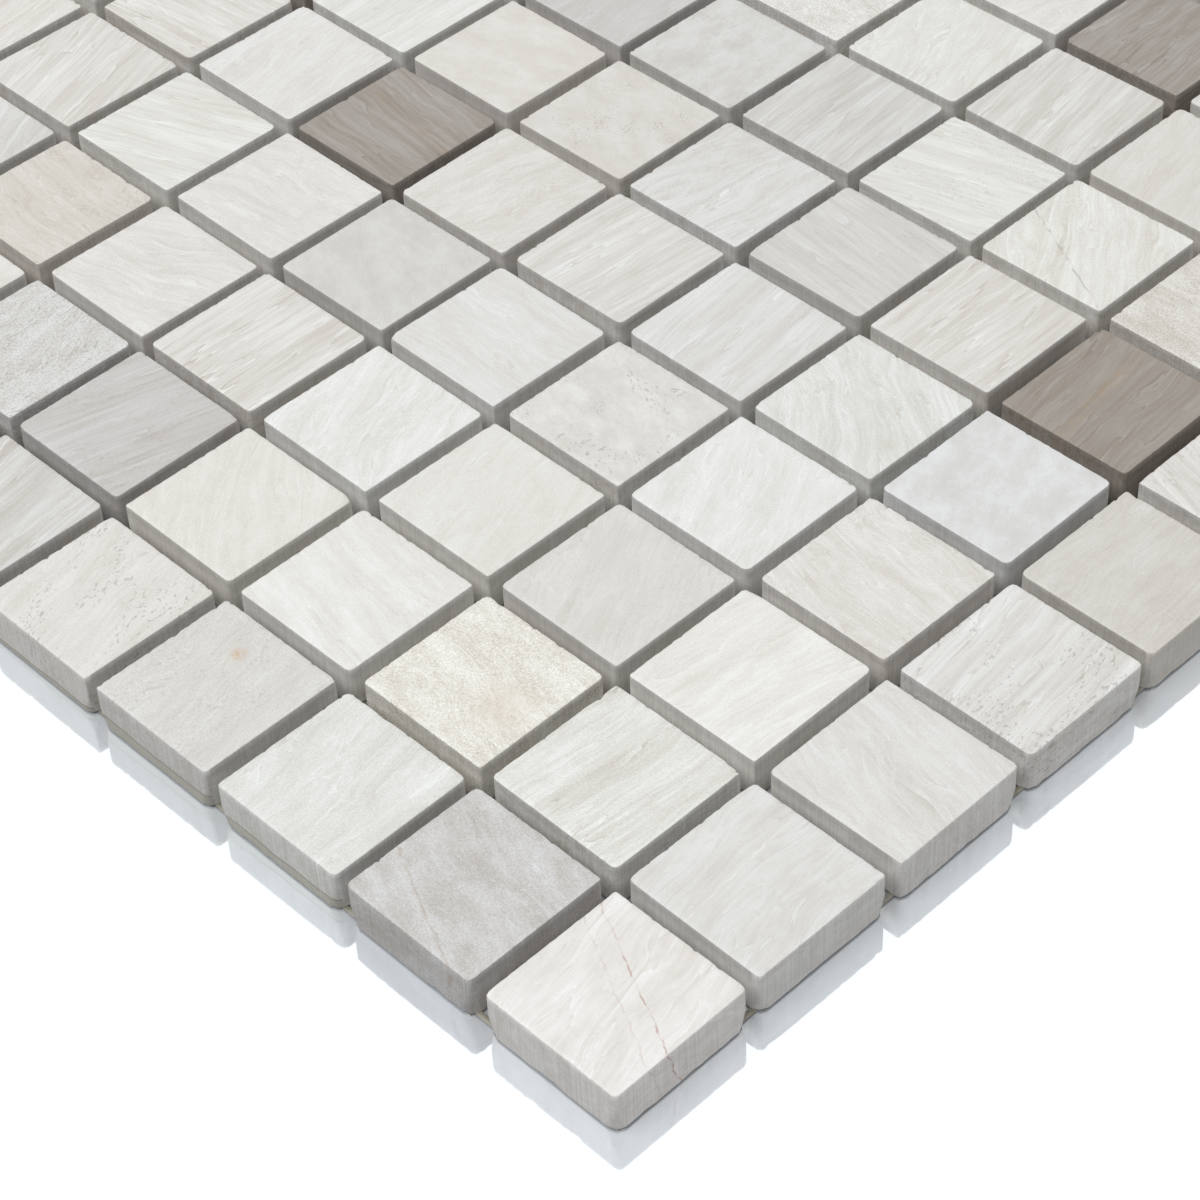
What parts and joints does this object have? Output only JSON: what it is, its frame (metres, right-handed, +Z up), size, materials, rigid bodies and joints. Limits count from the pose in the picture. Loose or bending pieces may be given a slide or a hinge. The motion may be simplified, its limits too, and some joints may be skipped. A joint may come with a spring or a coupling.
{
  "type": "mosaic tile sheet",
  "caption": "Square sheet of small sawn stone mosaic chips in a straight grid with open joints, bonded by their backs to a glass-fibre net.",
  "frame": {"origin": "centre of the sheet's underside", "axes": "+Z up through the good face; +X along a row of chips; +Y across the rows, from the first row to the last"},
  "size_m": [0.3028, 0.303, 0.0075],
  "materials": {
    "veined_marble": "honed, with sawn sides",
    "glass_fibre_net": "coated yarn"
  },
  "bodies": {
    "root": {"net_warp": "glass_fibre_net", "net_weft": "glass_fibre_net", "chip_row_01": "veined_marble", "chip_row_02": "veined_marble", "chip_row_03": "veined_marble", "chip_row_04": "veined_marble", "chip_row_05": "veined_marble", "chip_row_06": "veined_marble", "chip_row_07": "veined_marble", "chip_row_08": "veined_marble", "chip_row_09": "veined_marble", "chip_row_10": "veined_marble", "chip_row_11": "veined_marble", "chip_row_12": "veined_marble"}
  },
  "joints": []
}
